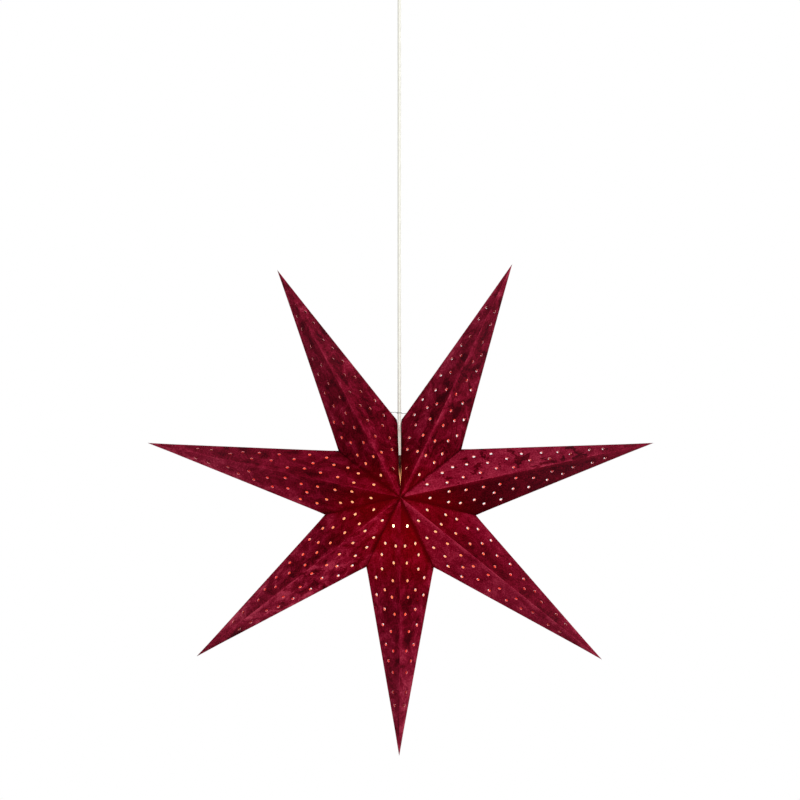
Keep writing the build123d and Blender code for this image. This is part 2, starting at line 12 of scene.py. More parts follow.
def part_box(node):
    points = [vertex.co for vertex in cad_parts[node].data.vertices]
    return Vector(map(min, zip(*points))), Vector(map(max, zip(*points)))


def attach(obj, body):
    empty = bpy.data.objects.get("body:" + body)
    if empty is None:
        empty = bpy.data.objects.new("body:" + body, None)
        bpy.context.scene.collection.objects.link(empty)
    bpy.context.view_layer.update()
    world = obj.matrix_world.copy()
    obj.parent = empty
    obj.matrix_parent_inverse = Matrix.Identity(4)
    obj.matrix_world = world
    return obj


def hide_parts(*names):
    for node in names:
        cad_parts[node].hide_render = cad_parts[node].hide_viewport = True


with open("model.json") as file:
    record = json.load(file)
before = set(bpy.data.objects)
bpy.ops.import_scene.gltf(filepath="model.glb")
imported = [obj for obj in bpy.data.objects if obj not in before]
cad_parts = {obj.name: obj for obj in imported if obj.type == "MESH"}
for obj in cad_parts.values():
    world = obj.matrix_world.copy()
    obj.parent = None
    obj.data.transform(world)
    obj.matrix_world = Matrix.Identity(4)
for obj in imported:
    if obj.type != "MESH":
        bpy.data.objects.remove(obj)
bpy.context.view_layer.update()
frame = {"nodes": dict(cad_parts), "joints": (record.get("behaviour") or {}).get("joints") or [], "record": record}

# Lengths are in metres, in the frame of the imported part: +Z up, the star's front faces -Y.
mm = 0.001
joints = {joint["name"]: joint for joint in frame["joints"]}
hub = Vector(joints["star_turn"]["pos_m"])

# Star shade. Its points are numbered clockwise from the slit at the top, as seen from the front.
point_count = 7
tip_radius = hub.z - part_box("star_point_4")[0].z
valley_radius = 112.5 * mm
half_depth = 75 * mm
sheet = 0.8 * mm
flap_width = 8 * mm
hub_hole_radius = 0.6 * mm

# Perforations of a panel, in rows from the ridge outwards. Each has its share of the way from the hub to the
# tip, and from the ridge to the panel's edge.
perforation_radius = 2.2 * mm
perforation_sides = 16
ridge_row_shares = [
    (0.109, 0.51), (0.185, 0.20), (0.250, 0.21), (0.318, 0.23), (0.382, 0.28), (0.447, 0.21),
    (0.515, 0.40), (0.590, 0.34), (0.674, 0.44), (0.751, 0.56), (0.803, 0.51),
]
middle_row_shares = [
    (0.176, 0.68), (0.220, 0.67), (0.275, 0.54), (0.355, 0.51),
    (0.430, 0.58), (0.491, 0.72), (0.567, 0.69), (0.630, 0.65),
]
edge_row_shares = [(0.309, 0.75), (0.376, 0.81)]
# The back panels are punched this far to the right of the front ones, in mm: first the panel on a point's
# anticlockwise side, then the one on its clockwise side. So one sees straight through the star mostly on its
# right side.
back_shift = {
    1: (1.8, -0.4), 2: (1.2, 0.9), 3: (-0.2, -1.6), 4: (-1.4, 1.4), 5: (0.7, 2.4), 6: (3.6, 3.6),
    7: (3.8, 3.8),
}
# Towards the tips the back's perforations also fall short of the front's. This begins at a share of the way
# to the tip and is full after a further share.
back_slide = 2.0 * mm
back_slide_start = 0.4
back_slide_run = 0.3

# Mesh of the panels: steps along the edges, rows of points beside them that keep clear of the corners, and a
# grid between that keeps clear of the edges. Rows and grid keep clear of the perforations. The grid's rows
# lie closer together than its columns, by a share.
mesh_step = 6 * mm
fold_rows = (1.5 * mm, 3.5 * mm)
corner_margin = max(fold_rows) + mm
grid_step = 10 * mm
grid_row_share = 0.866
grid_margin = 6 * mm
perforation_margin = 1.2 * mm
# A face whose middle is nearer to a perforation's centre than this share of its radius is left out.
perforation_core = 0.97
merge_distance = 1e-7
weld_distance = 0.02 * mm
# A point nearer to an edge than this lies on it.
edge_tolerance = 0.01 * mm

# How the sheet departs from flat panels of even thickness. Its folds are rounded, less so near the tip and
# near the corner at the valley. Slight waves fade out towards the edges, and each panel has its own. The
# sheet thins out on the last share of the way to the tip, down to a share of its thickness.
fold_rounding = 0.35 * mm
tip_fade = 40 * mm
corner_fade = 15 * mm
wave_height = 0.7 * mm
wave_length = 70 * mm
wave_fade = 15 * mm
wave_seed_step = 3.7
tip_taper = 0.12
tip_thickness = 0.08
# The flaps stand off their valley by a share of the sheet, and stop at a share of the way to the mid plane.
flap_offset = 0.4
flap_stop = 0.95

# Each point's lean from its even bearing, in degrees
lean = {1: -1.6, 2: -0.25, 3: -0.2, 4: 0.3, 5: 1.1, 6: 0.25, 7: -1.3}
# The shade hangs this far to the right of the cord, and its slit leans back to the cord.
shade_shift = Vector((1.8 * mm, 0, 0))
slit_lean = -1.0
# The lean at every fold in turn, from one side of the slit round to the other
lean_steps = [slit_lean, lean[1]]
for number in range(2, point_count + 1):
    lean_steps += [(lean[number - 1] + lean[number]) / 2, lean[number]]
lean_steps.append(slit_lean)
# How far the slit is drawn together, at its edge and at the flaps inside: distance from the hub in mm, and
# the share of the slit left open there
slit_edge_opening = [
    (0, 0.1), (17, 0.1), (23, 0.3), (28, 1.1), (36, 1.4), (48, 1.2), (62, 0.85), (80, 0.8), (106, 0.8),
    (112.5, 0.88),
]
slit_flap_opening = [
    (0, 0.05), (29, 0.05), (35, 0.4), (40, 0.75), (48, 1.0), (62, 0.9), (83, 0.85), (112.5, 1.0),
]

# Tone of each point's panels, first on its anticlockwise side, then on its clockwise side. It is partly the
# nap's own tone and partly painted light and shade: the tone at the hub and towards the tip, 0 dark to
# 1 light, the change of tone at the very end, how far the tone rises from ridge to outline, and the
# strength of the mottling and of the dark blotches
NapAndShading = namedtuple("NapAndShading", "hub tip end slope mottle blotch")
nap_and_shading = {
    1: ((0.05, 0.60, -0.1, 0.45, 0.85, 0.0), (0.05, 0.36, 0.0, 0.0, 0.95, 0.0)),
    2: ((1.02, 0.62, -0.25, 0.0, 0.4, 0.9), (-0.38, 0.05, 0.30, 0.0, 0.4, 0.0)),
    3: ((0.28, 0.32, 0.30, 0.42, 0.6, 0.0), (0.80, 0.62, -0.1, -0.05, 0.55, 0.0)),
    4: ((-0.48, 1.40, -0.5, 0.25, 0.8, 0.0), (0.28, 0.50, 0.0, 0.30, 0.8, 0.0)),
    5: ((0.38, 0.97, -1.05, 0.05, 1.05, 0.4), (0.05, 0.92, -0.1, 0.35, 0.9, 0.2)),
    6: ((-0.25, 1.30, -0.15, 0.35, 0.7, 0.0), (0.15, 0.45, 0.15, 0.05, 0.7, 0.0)),
    7: ((0.22, 0.30, 0.05, 0.20, 0.85, 0.0), (0.35, 0.06, 0.15, 0.10, 0.9, 0.0)),
}
# Where the change at the end begins and how long it takes, as shares of the way to the tip
tone_end_start = 0.74
tone_end_run = 0.12
# Steps on the nap's pattern that give every panel its own part of it
nap_seed_steps = (0.5, 0.31)
# How much a painted highlight lightens the velvet along each point's ridges, on the anticlockwise and
# on the clockwise side. It is strongest at the hub, and weaker towards the tip.
ridge_highlight = {
    1: (0.26, 0.34), 2: (0.10, 0.18), 3: (0.12, 0.22), 4: (0.10, 0.20), 5: (0.22, 0.22), 6: (0.18, 0.14),
    7: (0.20, 0.26),
}
ridge_highlight_at_hub = 1.2
ridge_highlight_fall = 0.7
ridge_band = 10 * mm
# How much darker it is along its valleys, likewise, and where that band begins and where it is full
valley_shade = {
    1: (0.15, 0.12), 2: (0.0, 0.17), 3: (0.0, 0.0), 4: (0.28, 0.0), 5: (0.28, 0.0), 6: (0.17, 0.05),
    7: (0.07, 0.30),
}
valley_band = (9 * mm, 1 * mm)
# The tone of the very fold: a painted highlight on a ridge and a painted shadow in a valley
ridge_highlight_line = 0.2
valley_shadow_line = -1.8
# What makes up the velvet's tone and relief: clouds and streaks of crushed pile, blotches, the nap with
# its painted light and shade, the painted highlight and shadow on the folds, and the pile itself
cloud_weight = 0.7
streak_weight = 0.3
crush_contrast = 3.0
blotch_limits = (0.55, 0.60)
blotch_weight = 0.5
nap_and_shading_weight = 0.5
tone_base = 0.2
crush_weight = 1.1
fold_weight = 0.25
pile_weight = 0.9
crush_height = 0.6
pile_height = 0.25
# The velvet reads these from the mesh.
face_values = ("nap_and_shading", "ridge", "valley", "slope", "mottle", "blotch")
vertex_values = ("fold", "from_valley")
# The shade's materials: outside, inside and cut edge. Faces this near to its axis count as outside.
outside, inside, cut = range(3)
hub_rim_reach = 2 * mm

# Cord: its route from the outlet to the lampholder
cord_diameter = 5 * mm
slit_clearance = 0.3 * mm
cord_route = [(0, 0, -0.0645), (0, 0, -0.4), (0, 0, -0.754)]

# Camera, from the photograph: its scale at the star and the pixel where the star's centre lies
picture_size = 800
hub_pixel = (399.3, 497.3)
metres_per_pixel = 1.449 * mm
camera_distance = 3.0

# Studio: a floor below the star, soft lights with their place from the star's centre, size and power, the
# strength of the white surround as a light, and how much the floor is brightened where it is seen
floor_radius = 4
floor_drop = 1.6
studio_lights = {
    "key": ((1.9, -2.1, 1.1), 1.8, 43), "fill": ((-1.9, -2.3, 0.5), 1.8, 14.5),
    "front": ((0.3, -3.3, 0.5), 1.4, 21), "rear": ((0.4, 2.6, 1.2), 1.8, 34),
}
surround_light = 0.44
floor_glow = 0.3

# Angles and widths that follow, as in the CAD model
valley_gradient = math.hypot(1 / valley_radius, 1 / half_depth)
cord_room = cord_diameter / 2 + slit_clearance
flap_reach = valley_radius * (1 - flap_width * valley_gradient - cord_room / half_depth)
slit_half_angle = math.asin(cord_room / flap_reach)
half_pitch = (math.pi - slit_half_angle) / point_count
base_half_width = (
    valley_radius * math.sin(half_pitch) * tip_radius
    / (tip_radius - valley_radius * math.cos(half_pitch))
)

# The bulb's light is part of the materials: how far it reaches inside the shade and through the velvet, and
# the share of it that lights other pieces
bulb_low, bulb_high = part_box("bulb_glass")
globe_radius = (bulb_high.x - bulb_low.x) / 2
bulb_centre = Vector((0, 0, bulb_low.z + globe_radius))
light_reach = 0.36
velvet_light_reach = 0.125
light_spill = 0.15
# Light that comes through the velvet: how steeply it falls with distance, its strength, the tone of the nap
# that would let none through, the tone that lets most through, how the pile breaks it up, and the loss in
# valleys
glow_falloff = 1.4
glow_strength = 0.38
opaque_tone = 1.35
thinnest_tone = 0.1
pile_glow = (0.3, 1.7)
valley_glow_loss = 1.8
# Away from the bulb the velvet turns cooler, a painted sheen: a haze is added and its colour is multiplied,
# each between two distances.
sheen_haze_distances = (0.08, 0.30)
sheen_haze = (0.0, 0.0024, 0.005, 1)
sheen_cooling_distances = (0.07, 0.28)
sheen_cooling = (1.0, 1.6, 1.2, 1)
# The cord is lit where it goes into the shade, from none to full between two distances.
cord_light_distances = (0.155, 0.115)
cord_light = 0.45
# The lampholder shades the way straight up from the bulb, and a little more to the left. The cosines from
# the shadow's axis say where it is full and where it ends. Some light is left in it, more so on cut edges,
# and is as red as light from further away.
shadow_axis = Vector((-0.16, 0, 1)).normalized()
shadow_full = 0.975
shadow_end = 0.84
shadow_light = 0.25
cut_shadow_light = 0.5
scatter_distance = 0.05

# Surfaces other than the shade's have a grain and a finer one, so many times its scale, and their gloss
# varies by a share.
fine_grain = 12
fine_grain_depth = 0.2 * mm
gloss_spread = 0.2
# Finish of every slot but the shade's: base colour and its spread, roughness, scale of the grain, strength
# of the bump, stretch of the grain, and what else the shader gets
slot_finishes = {
    "hanger_steel": dict(
        base=(0.36, 0.36, 0.35), spread=0.2, roughness=0.38, grain=90, bump=0.2, stretch=(0.2, 1, 1),
        Metallic=1.0),
    "cup_white": dict(
        base=(0.78, 0.77, 0.74), spread=0.03, roughness=0.36, grain=40, bump=0.08, Coat_Weight=0.2),
    "zinc_steel": dict(
        base=(0.30, 0.31, 0.33), spread=0.18, roughness=0.6, grain=150, bump=0.15, Metallic=1.0),
    "nylon_clear": dict(
        base=(0.80, 0.80, 0.76), spread=0.05, roughness=0.42, grain=80, bump=0.1, Transmission_Weight=0.25),
    "nylon_white": dict(base=(0.82, 0.81, 0.78), spread=0.04, roughness=0.48, grain=90, bump=0.14),
    "rubber_white": dict(base=(0.74, 0.73, 0.70), spread=0.06, roughness=0.7, grain=120, bump=0.2),
    # The cord's emission is painted light from the bulb, where the cord goes into the shade.
    "cord_white": dict(
        base=(0.78, 0.77, 0.69), spread=0.04, roughness=0.45, grain=110, bump=0.12, stretch=(1, 1, 0.05),
        Coat_Weight=0.1, Emission_Color=(0.78, 1.0, 0.9, 1)),
    "core_brown": dict(base=(0.16, 0.065, 0.03), spread=0.15, roughness=0.35, grain=160, bump=0.08),
    "core_blue": dict(base=(0.03, 0.11, 0.42), spread=0.15, roughness=0.35, grain=160, bump=0.08),
    "holder_black": dict(base=(0.014, 0.014, 0.015), spread=0.3, roughness=0.5, grain=130, bump=0.22),
    "insert_white": dict(base=(0.78, 0.76, 0.72), spread=0.05, roughness=0.75, grain=200, bump=0.2),
    "brass": dict(
        base=(0.66, 0.46, 0.18), spread=0.22, roughness=0.3, grain=140, bump=0.12, Metallic=1.0),
    "bulb_nickel": dict(
        base=(0.62, 0.60, 0.56), spread=0.12, roughness=0.22, grain=120, bump=0.08, Metallic=1.0),
    "bulb_solder": dict(
        base=(0.52, 0.52, 0.52), spread=0.2, roughness=0.42, grain=400, bump=0.3, Metallic=1.0),
    "bulb_black": dict(base=(0.010, 0.010, 0.012), spread=0.3, roughness=0.15, grain=180, bump=0.05),
    "bulb_glass": dict(
        base=(0.98, 0.95, 0.88), spread=0.02, roughness=0.08, grain=50, bump=0.03, Transmission_Weight=0.85,
        Emission_Color=(1.0, 0.74, 0.42, 1), Emission_Strength=1.4),
    "filament": dict(
        base=(0.92, 0.70, 0.30), spread=0.1, roughness=0.6, grain=500, bump=0.2,
        Emission_Color=(1.0, 0.72, 0.38, 1), Emission_Strength=12.0),
}


def srgb(red, green, blue):
    """Linear colour for display values from 0 to 255."""
    def linear(value):
        share = value / 255
        return share / 12.92 if share <= 0.04045 else ((share + 0.055) / 1.055) ** 2.4
    return (linear(red), linear(green), linear(blue), 1)


def add_object(name, data):
    """A new object in the scene."""
    made = bpy.data.objects.new(name, data)
    bpy.context.scene.collection.objects.link(made)
    return made


class Nodes:
    """Adds and links the nodes of a material or of the world. Values are sockets or numbers."""

    def __init__(self, owner, shader="Principled BSDF"):
        """Starts on the owner's own nodes; a name makes a new material."""
        if isinstance(owner, str):
            owner = bpy.data.materials.new(owner)
        owner.use_nodes = True
        self.owner = owner
        self.tree = owner.node_tree
        self.shader = self.tree.nodes[shader]

    def add(self, kind, inputs=(), **settings):
        node = self.tree.nodes.new(kind)
        for key, value in settings.items():
            setattr(node, key, value)
        for key, value in dict(inputs).items():
            self.put(node.inputs[key], value)
        return node

    def put(self, socket, value):
        if isinstance(value, bpy.types.NodeSocket):
            self.tree.links.new(value, socket)
        else:
            socket.default_value = value

    def shade(self, **inputs):
        """Sets or links inputs of the surface shader; an underscore stands for a space."""
        for key, value in inputs.items():
            self.put(self.shader.inputs[key.replace("_", " ")], value)

    def math(self, operation, *values, clamp=False):
        node = self.add("ShaderNodeMath", operation=operation, use_clamp=clamp)
        for socket, value in zip(node.inputs, values):
            self.put(socket, value)
        return node.outputs[0]

    def plus(self, *values):
        return reduce(lambda total, value: self.math("ADD", total, value), values)

    def times(self, *values):
        return reduce(lambda product, value: self.math("MULTIPLY", product, value), values)

    def minus(self, first, second):
        return self.math("SUBTRACT", first, second)

    def from_middle(self, value):
        """How far a value from 0 to 1 is above its middle."""
        return self.minus(value, 0.5)

    def vector(self, operation, *vectors):
        return self.add("ShaderNodeVectorMath", dict(enumerate(vectors)), operation=operation).outputs

    def object_place(self):
        return self.add("ShaderNodeTexCoord").outputs["Object"]

    def uv(self, name):
        return self.add("ShaderNodeUVMap", uv_map=name).outputs["UV"]

    def attribute(self, name):
        return self.add("ShaderNodeAttribute", attribute_name=name).outputs["Fac"]

    def light_path(self, ray):
        return self.add("ShaderNodeLightPath").outputs[ray]

    def noise(self, vector, scale, detail=3.0, roughness=0.5, distortion=0.0):
        node = self.add("ShaderNodeTexNoise", {
            "Vector": vector, "Scale": scale, "Detail": detail,
            "Roughness": roughness, "Distortion": distortion,
        })
        return node.outputs["Fac"]

    def stretched(self, vector, scale):
        node = self.add("ShaderNodeMapping", {"Vector": vector, "Scale": scale})
        return node.outputs["Vector"]

    def ramp(self, value, *stops):
        """Colour ramp with (place, colour) stops."""
        node = self.add("ShaderNodeValToRGB", {"Fac": value})
        elements = node.color_ramp.elements
        while len(elements) < len(stops):
            elements.new(0.5)
        for element, (place, colour) in zip(elements, stops):
            element.position = place
            element.color = colour
        return node.outputs["Color"]

    def blend(self, kind, share, colour, other):
        node = self.add("ShaderNodeMix", {0: share, 6: colour, 7: other}, data_type="RGBA", blend_type=kind)
        return node.outputs[2]

    def span(self, value, low, high):
        """A value from 0 to 1 stretched to run from low to high."""
        node = self.add("ShaderNodeMapRange", {"Value": value, "To Min": low, "To Max": high})
        return node.outputs["Result"]

    def ease(self, value, start, end, low=0.0, high=1.0):
        """A value eased from low at its start to high at its end."""
        node = self.add("ShaderNodeMapRange", {
            "Value": value, "From Min": start, "From Max": end, "To Min": low, "To Max": high,
        }, interpolation_type="SMOOTHSTEP")
        return node.outputs["Result"]

    def bump(self, height, strength, distance):
        node = self.add("ShaderNodeBump", {"Height": height, "Strength": strength, "Distance": distance})
        return node.outputs["Normal"]

    def bulb_light(self):
        """Distance from the bulb's centre, and the share of its light that gets past the lampholder."""
        away = self.vector("SUBTRACT", self.object_place(), bulb_centre)["Vector"]
        distance = self.vector("LENGTH", away)["Value"]
        way = self.vector("NORMALIZE", away)["Vector"]
        rise = self.vector("DOT_PRODUCT", way, shadow_axis)["Value"]
        return distance, self.ease(rise, shadow_full, shadow_end, shadow_light, 1.0)

    def mostly_seen(self, strength):
        """A glow's strength, cut down where it would light other pieces."""
        return self.times(strength, self.span(self.light_path("Is Diffuse Ray"), 1.0, light_spill))


def velvet_material():
    """Crushed velvet: cloudy nap, painted light and shade on panels, ridges and valleys, and a red glow by the
    bulb.
    """
    n = Nodes("velvet")
    panel = n.uv("panel")
    # Read from the mesh: tone, partly painted light and shade, the painted ridge highlight and valley shade
    tone, ridge, valley, slope, mottle, blotch = map(n.attribute, face_values)
    fold, from_valley = map(n.attribute, vertex_values)
    across = n.add("ShaderNodeSeparateXYZ", {0: n.uv("across")}).outputs
    from_outline, from_ridge = across["X"], across["Y"]
    way_out = n.math("DIVIDE", from_ridge, n.plus(from_ridge, from_outline))
    ridge_highlight_mask = n.ease(from_ridge, ridge_band, 0)
    valley_shading = n.times(valley, n.ease(from_valley, *valley_band))

    # Clouds and streaks of crushed pile, dark blotches, and the pile itself
    cloud = n.noise(panel, 42, detail=5, roughness=0.68, distortion=0.9)
    streak = n.noise(n.stretched(panel, (18, 70, 1)), 1.0, detail=3, roughness=0.55, distortion=0.8)
    spots = n.noise(panel, 46, detail=3, roughness=0.65, distortion=0.25)
    pile = n.noise(panel, 440, detail=1, roughness=0.5)
    crush = n.plus(n.times(cloud, cloud_weight), n.times(streak, streak_weight))
    crush = n.times(n.from_middle(crush), crush_contrast, mottle)
    crush = n.minus(crush, n.times(n.ease(spots, *blotch_limits), blotch, blotch_weight))

    # Tone from 0 to 1, and its colour: its lighter end is pinker, a painted sheen, and more painted sheen
    # makes it cooler away from the bulb
    value = n.plus(n.times(tone, nap_and_shading_weight), tone_base, n.times(crush, crush_weight))
    value = n.plus(value, n.times(slope, n.from_middle(way_out)), n.times(fold, fold_weight))
    # Painted highlight along the ridges and painted shade along the valleys
    value = n.minus(n.plus(value, n.times(ridge, ridge_highlight_mask)), valley_shading)
    value = n.math("ADD", value, n.times(n.from_middle(pile), pile_weight), clamp=True)
    colour = n.ramp(
        value, (0.0, srgb(56, 0, 4)), (0.3, srgb(94, 2, 16)), (0.6, srgb(125, 9, 36)),
        (1.0, srgb(168, 42, 68)),
    )
    distance, lit = n.bulb_light()
    colour = n.blend("ADD", n.ease(distance, *sheen_haze_distances), colour, sheen_haze)
    colour = n.blend("MULTIPLY", n.ease(distance, *sheen_cooling_distances), colour, sheen_cooling)

    # Light that comes through, most where the nap is dark
    near = n.math("SUBTRACT", 1.0, n.math("DIVIDE", distance, velvet_light_reach), clamp=True)
    thin = n.times(n.minus(opaque_tone, n.math("MAXIMUM", tone, thinnest_tone)), glow_strength)
    glow = n.times(n.math("POWER", near, glow_falloff), thin, lit, n.span(pile, *pile_glow))
    glow = n.times(glow, n.minus(1.0, n.times(valley_shading, valley_glow_loss)))
    height = n.plus(n.times(crush, crush_height), n.times(pile, pile_height))
    n.shade(
        Base_Color=colour, Roughness=0.9, Specular_IOR_Level=0.01, Sheen_Weight=0.1, Sheen_Roughness=0.4,
        Sheen_Tint=srgb(200, 40, 70), Emission_Color=srgb(190, 0, 4), Emission_Strength=glow,
        Normal=n.bump(height, 0.35, 1.0 * mm),
    )
    return n.owner


def inner_paper_material():
    """Inside of the shade: lit yellow beside the bulb, through orange to dull red in the tips."""
    n = Nodes("inner_paper")
    fibre = n.noise(n.object_place(), 220, detail=4)
    distance, lit = n.bulb_light()
    scattered = n.times(n.minus(1.0, lit), scatter_distance)
    light = n.ramp(
        n.math("DIVIDE", n.plus(distance, scattered), light_reach, clamp=True),
        (0.0, (1.0, 0.80, 0.45, 1)), (0.22, (1.0, 0.54, 0.21, 1)), (0.31, (1.0, 0.23, 0.08, 1)),
        (0.40, (0.92, 0.085, 0.04, 1)), (0.52, (0.66, 0.032, 0.025, 1)), (0.66, (0.25, 0.012, 0.012, 1)),
        (0.8, (0.09, 0.005, 0.007, 1)),
    )
    n.shade(
        Base_Color=n.ramp(fibre, (0.3, srgb(150, 60, 50)), (0.7, srgb(172, 78, 64))), Roughness=0.9,
        Emission_Color=light, Emission_Strength=n.mostly_seen(n.times(n.span(fibre, 0.95, 1.25), lit)),
        Normal=n.bump(fibre, 0.2, 0.3 * mm),
    )
    return n.owner


def cut_edge_material():
    """Punched edge of the sheet: pale red paper, lit by the bulb."""
    n = Nodes("cut_edge")
    fibre = n.noise(n.object_place(), 900, detail=3)
    distance, lit = n.bulb_light()
    light = n.ramp(
        n.math("DIVIDE", distance, light_reach, clamp=True),
        (0.0, (1.0, 0.52, 0.26, 1)), (0.35, (0.9, 0.16, 0.085, 1)), (0.7, (0.3, 0.03, 0.04, 1)),
    )
    strength = n.times(n.span(fibre, 0.45, 0.7), n.span(lit, cut_shadow_light, 1.0))
    n.shade(
        Base_Color=n.ramp(fibre, (0.3, srgb(232, 156, 164)), (0.7, srgb(250, 178, 184))), Roughness=0.9,
        Emission_Color=light, Emission_Strength=n.mostly_seen(strength),
    )
    return n.owner


def plain_material(slot, base, spread, roughness, grain, bump, stretch=(1, 1, 1), **extra):
    """A colour that varies by its spread, with uneven gloss and a fine surface grain."""
    n = Nodes(slot)
    place = n.stretched(n.object_place(), stretch)
    mottle = n.noise(place, grain, detail=4, roughness=0.6)
    fine = n.noise(place, fine_grain * grain, detail=2)
    dark = tuple(channel * (1 - spread) for channel in base) + (1,)
    light = tuple(min(channel * (1 + spread), 1) for channel in base) + (1,)
    n.shade(
        Base_Color=n.ramp(mottle, (0.3, dark), (0.7, light)),
        Roughness=n.span(mottle, (1 - gloss_spread) * roughness, (1 + gloss_spread) * roughness),
        Normal=n.bump(fine, bump, fine_grain_depth), **extra,
    )
    return n.owner


def light_cord(material):
    """Lights the cord where it goes into the shade."""
    n = Nodes(material)
    distance, _ = n.bulb_light()
    n.shade(Emission_Strength=n.ease(distance, *cord_light_distances, 0.0, cord_light))


def slot_materials():
    """One material for each slot that has a finish, by slot name."""
    made = {slot: plain_material(slot, **finish) for slot, finish in slot_finishes.items()}
    light_cord(made["cord_white"])
    return made


def smooth(share):
    """Eases a share from 0 to 1."""
    share = min(max(share, 0), 1)
    return share * share * (3 - 2 * share)


def between(table, value):
    """The entry at a value, in a table of rising (value, entry) pairs."""
    for (low, entry), (high, next_entry) in zip(table, table[1:]):
        if value <= high:
            return entry + (next_entry - entry) * (value - low) / (high - low)
    return table[-1][1]


def cross(first, second):
    """Cross product of two flat vectors."""
    return first.x * second.y - first.y * second.x


def draw_together(place, openings, reach):
    """Moves a place at the slit sideways, by the opening left at its distance from the hub."""
    place.x = hub.x + (place.x - hub.x) * between(openings, reach / mm)


def bend_to_lean(place):
    """Turns a place about the hub by the lean at its bearing.

    The lean is a point's own on its ridge, and the mean of both points' in a valley.
    """
    arm = place - hub
    steps = (math.atan2(arm.x, arm.z) % (2 * math.pi) - slit_half_angle) / half_pitch
    steps = min(max(steps, 0), 2 * point_count)
    before = min(int(steps), 2 * point_count - 1)
    turn = lean_steps[before] + (lean_steps[before + 1] - lean_steps[before]) * (steps - before)
    return hub + shade_shift + Matrix.Rotation(math.radians(turn), 3, "Y") @ arm


